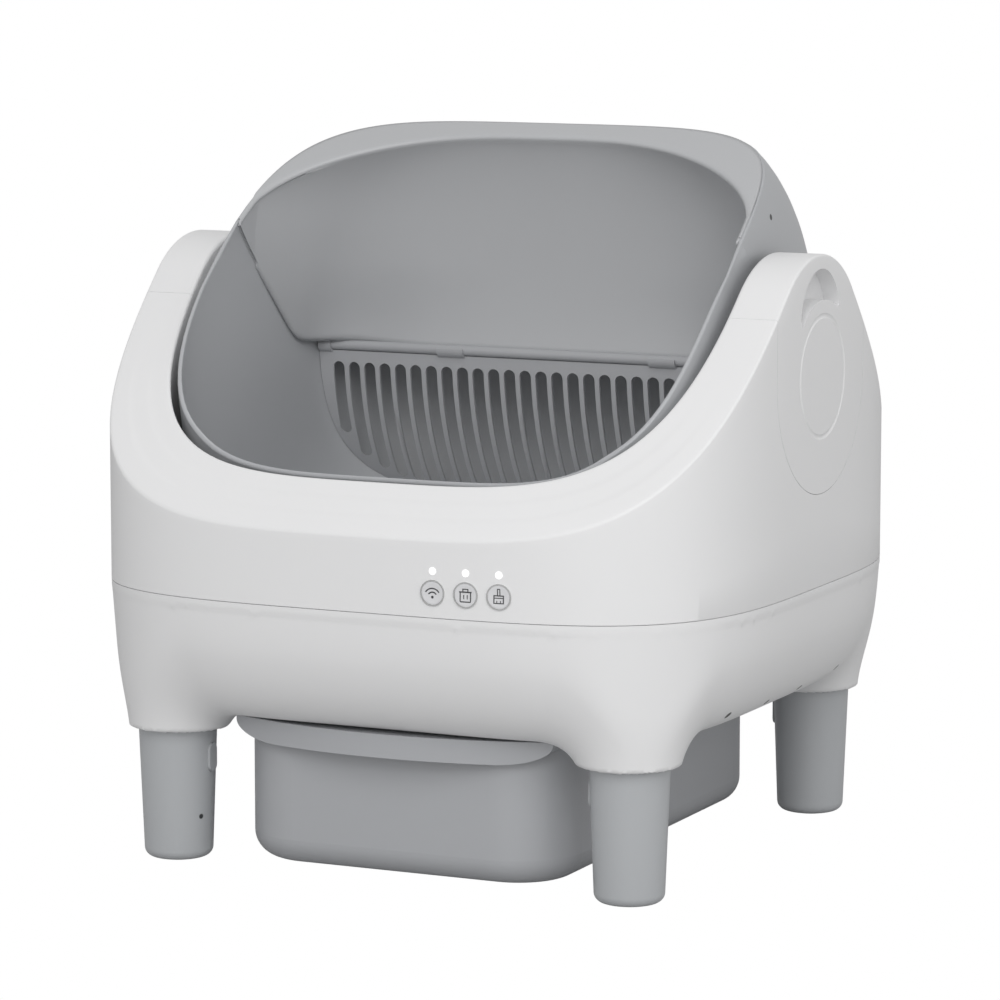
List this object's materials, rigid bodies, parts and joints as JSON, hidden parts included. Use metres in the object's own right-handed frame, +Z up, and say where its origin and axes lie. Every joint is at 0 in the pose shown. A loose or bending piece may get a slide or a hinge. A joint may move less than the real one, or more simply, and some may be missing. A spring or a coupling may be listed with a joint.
{
  "type": "smart litter box",
  "caption": "Self-cleaning litter box: an open drum with a hinged sieve turns between side towers above a pull-out waste drawer, on plug-in legs.",
  "frame": {"origin": "on the floor, under the middle of the body", "axes": "+Z up, -Y to the front where the button panel and the drawer pull are, +X to the right seen from the front"},
  "size_m": [0.5812, 0.5605, 0.6014],
  "materials": {
    "white_shell": "fine matt white",
    "white_cap": "fine matt white",
    "belly_white": "fine matt white",
    "grey_drum": "fine matt grey",
    "grey_hood": "fine matt grey",
    "grey_liner": "satin grey",
    "grey_sieve": "satin grey",
    "grey_drawer": "fine matt grey",
    "grey_leg": "satin grey",
    "leg_button": "satin grey",
    "foot": "matt black",
    "natural_plastic": "acetal",
    "dark_plastic": "matt black",
    "steel": "plain steel",
    "button_white": "satin white",
    "ring": "bright",
    "lens": "milky white",
    "board": "green varnish",
    "magnet": "plated"
  },
  "bodies": {
    "base": {"upper_housing": "white_shell", "drum_well": "white_shell", "lower_housing": "belly_white", "housing_screws": "steel", "waste_chute": "dark_plastic", "left_drawer_rail": "dark_plastic", "right_drawer_rail": "dark_plastic", "left_bearing": "natural_plastic", "right_bearing": "natural_plastic", "gearbox": "dark_plastic", "drive_motor": "steel", "motor_clamp": "dark_plastic", "home_sensor": "dark_plastic", "button_rings": "ring", "status_lights": "lens", "panel_board": "board", "panel_board_posts": "dark_plastic", "main_board": "board", "main_board_posts": "dark_plastic", "power_socket": "dark_plastic", "load_cells": "steel"},
    "drum": {"drum_bowl": "grey_drum", "drum_hood": "grey_hood", "hood_liner": "grey_liner", "sieve_hinge_bar": "grey_sieve", "left_trunnion": "natural_plastic", "right_trunnion": "natural_plastic", "trunnion_screws": "steel", "drive_gear": "natural_plastic", "home_magnet": "magnet"},
    "sieve_flap": {"sieve": "grey_sieve"},
    "pinion": {"drive_pinion": "natural_plastic"},
    "drawer": {"waste_drawer": "grey_drawer"},
    "left_cap": {"left_side_cap": "white_cap"},
    "right_cap": {"right_side_cap": "white_cap"},
    "button_network": {"network_button": "button_white"},
    "button_clean": {"clean_button": "button_white"},
    "button_level": {"level_button": "button_white"},
    "stand_front_left": {"leg_front_left": "grey_leg", "foot_pad_front_left": "foot"},
    "latch_front_left": {"leg_button_front_left": "leg_button"},
    "stand_front_right": {"leg_front_right": "grey_leg", "foot_pad_front_right": "foot"},
    "latch_front_right": {"leg_button_front_right": "leg_button"},
    "stand_rear_left": {"leg_rear_left": "grey_leg", "foot_pad_rear_left": "foot"},
    "latch_rear_left": {"leg_button_rear_left": "leg_button"},
    "stand_rear_right": {"leg_rear_right": "grey_leg", "foot_pad_rear_right": "foot"},
    "latch_rear_right": {"leg_button_rear_right": "leg_button"}
  },
  "joints": [
    {"name": "drum_turn", "type": "hinge", "parent": "base", "child": "drum", "pos_m": [0, 0, 0.408], "axis": [1, 0, 0], "range_deg": [-219, 141]},
    {"name": "pinion_turn", "type": "hinge", "parent": "base", "child": "pinion", "pos_m": [0.265, 0, 0.32], "axis": [1, 0, 0], "range_deg": [-650, 1000]},
    {"name": "sieve_swing", "type": "hinge", "parent": "drum", "child": "sieve_flap", "pos_m": [0, 0.113, 0.401], "axis": [-1, 0, 0], "range_deg": [0, 70]},
    {"name": "drawer_slide", "type": "slide", "parent": "base", "child": "drawer", "axis": [0, -1, 0], "range_m": [0, 0.29]},
    {"name": "left_cap_lift", "type": "slide", "parent": "base", "child": "left_cap", "axis": [0, 0, 1], "range_m": [0, 0.21]},
    {"name": "right_cap_lift", "type": "slide", "parent": "base", "child": "right_cap", "axis": [0, 0, 1], "range_m": [0, 0.21]},
    {"name": "network_press", "type": "slide", "parent": "base", "child": "button_network", "axis": [-0.0165, 0.9999, 0], "range_m": [0, 0.001], "stiffness_N_per_m": 1500},
    {"name": "clean_press", "type": "slide", "parent": "base", "child": "button_clean", "axis": [-0.0442, 0.999, 0], "range_m": [0, 0.001], "stiffness_N_per_m": 1500},
    {"name": "level_press", "type": "slide", "parent": "base", "child": "button_level", "axis": [-0.0921, 0.9958, 0], "range_m": [0, 0.001], "stiffness_N_per_m": 1500},
    {"name": "leg_front_left_pull", "type": "slide", "parent": "base", "child": "stand_front_left", "axis": [0, 0, -1], "range_m": [0, 0.06]},
    {"name": "leg_front_left_latch", "type": "slide", "parent": "stand_front_left", "child": "latch_front_left", "axis": [-1, 0, 0], "range_m": [0, 0.002], "stiffness_N_per_m": 1000},
    {"name": "leg_front_right_pull", "type": "slide", "parent": "base", "child": "stand_front_right", "axis": [0, 0, -1], "range_m": [0, 0.06]},
    {"name": "leg_front_right_latch", "type": "slide", "parent": "stand_front_right", "child": "latch_front_right", "axis": [1, 0, 0], "range_m": [0, 0.002], "stiffness_N_per_m": 1000},
    {"name": "leg_rear_left_pull", "type": "slide", "parent": "base", "child": "stand_rear_left", "axis": [0, 0, -1], "range_m": [0, 0.06]},
    {"name": "leg_rear_left_latch", "type": "slide", "parent": "stand_rear_left", "child": "latch_rear_left", "axis": [-1, 0, 0], "range_m": [0, 0.002], "stiffness_N_per_m": 1000},
    {"name": "leg_rear_right_pull", "type": "slide", "parent": "base", "child": "stand_rear_right", "axis": [0, 0, -1], "range_m": [0, 0.06]},
    {"name": "leg_rear_right_latch", "type": "slide", "parent": "stand_rear_right", "child": "latch_rear_right", "axis": [1, 0, 0], "range_m": [0, 0.002], "stiffness_N_per_m": 1000}
  ],
  "couplings": [
    {"joint": "pinion_turn", "follows": "drum_turn", "ratio": -4.5}
  ]
}
